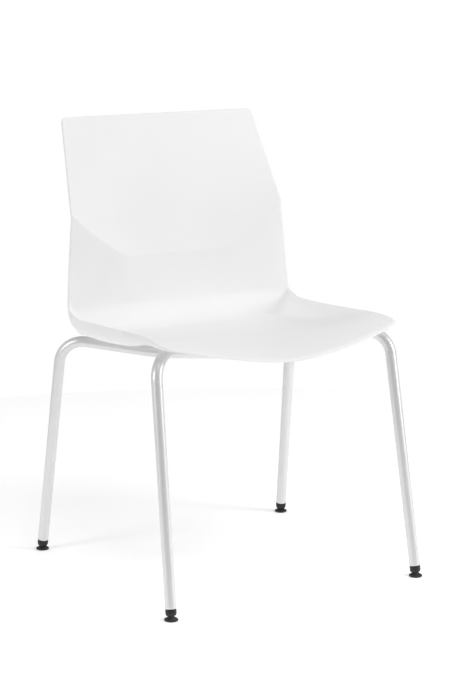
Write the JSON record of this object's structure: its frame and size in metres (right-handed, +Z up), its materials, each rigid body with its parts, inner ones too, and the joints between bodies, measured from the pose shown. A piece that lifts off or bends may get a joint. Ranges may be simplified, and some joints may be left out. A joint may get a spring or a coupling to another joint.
{
  "type": "stacking chair",
  "caption": "White moulded one-piece seat and back with a creased hollow backrest, on splayed bent-tube legs with tilting black glides.",
  "frame": {"origin": "on the floor, under the middle of the chair", "axes": "+Z up; the sitter faces -Y, so the backrest is towards +Y; +X is the sitter's left"},
  "size_m": [0.5566, 0.5359, 0.82],
  "materials": {
    "shell_plastic": "white moulded plastic, fine matt grain",
    "frame_paint": "white powder coat, satin",
    "glide_plastic": "black moulded plastic, matt",
    "glide_sole": "dark grey, worn matt",
    "zinc_steel": "zinc plated",
    "insert_brass": "machined"
  },
  "bodies": {
    "frame": {"seat_shell": "shell_plastic", "front_frame_tube": "frame_paint", "rear_frame_tube": "frame_paint", "mounting_strap_left": "frame_paint", "mounting_strap_right": "frame_paint", "shell_screw_front_left": "zinc_steel", "shell_screw_front_right": "zinc_steel", "shell_screw_rear_left": "zinc_steel", "shell_screw_rear_right": "zinc_steel", "shell_washer_front_left": "zinc_steel", "shell_washer_front_right": "zinc_steel", "shell_washer_rear_left": "zinc_steel", "shell_washer_rear_right": "zinc_steel", "shell_insert_front_left": "insert_brass", "shell_insert_front_right": "insert_brass", "shell_insert_rear_left": "insert_brass", "shell_insert_rear_right": "insert_brass", "glide_plug_front_left": "glide_plastic", "glide_plug_front_right": "glide_plastic", "glide_plug_rear_left": "glide_plastic", "glide_plug_rear_right": "glide_plastic", "glide_stud_front_left": "zinc_steel", "glide_stud_front_right": "zinc_steel", "glide_stud_rear_left": "zinc_steel", "glide_stud_rear_right": "zinc_steel"},
    "glide_front_left": {"glide_base_front_left": "glide_plastic", "glide_sole_front_left": "glide_sole"},
    "glide_front_right": {"glide_base_front_right": "glide_plastic", "glide_sole_front_right": "glide_sole"},
    "glide_rear_left": {"glide_base_rear_left": "glide_plastic", "glide_sole_rear_left": "glide_sole"},
    "glide_rear_right": {"glide_base_rear_right": "glide_plastic", "glide_sole_rear_right": "glide_sole"}
  },
  "joints": [
    {"name": "glide_tilt_front_left", "type": "hinge", "parent": "frame", "child": "glide_front_left", "pos_m": [0.2542, -0.2553, 0.0076], "axis": [-0.9834, -0.1813, 0], "range_deg": [-8, 28]},
    {"name": "glide_tilt_front_right", "type": "hinge", "parent": "frame", "child": "glide_front_right", "pos_m": [-0.2542, -0.2553, 0.0076], "axis": [-0.9834, 0.1813, 0], "range_deg": [-8, 28]},
    {"name": "glide_tilt_rear_left", "type": "hinge", "parent": "frame", "child": "glide_rear_left", "pos_m": [0.2659, 0.2427, 0.0076], "axis": [0.97, -0.2432, 0], "range_deg": [-8, 28]},
    {"name": "glide_tilt_rear_right", "type": "hinge", "parent": "frame", "child": "glide_rear_right", "pos_m": [-0.2659, 0.2427, 0.0076], "axis": [0.97, 0.2432, 0], "range_deg": [-8, 28]}
  ]
}
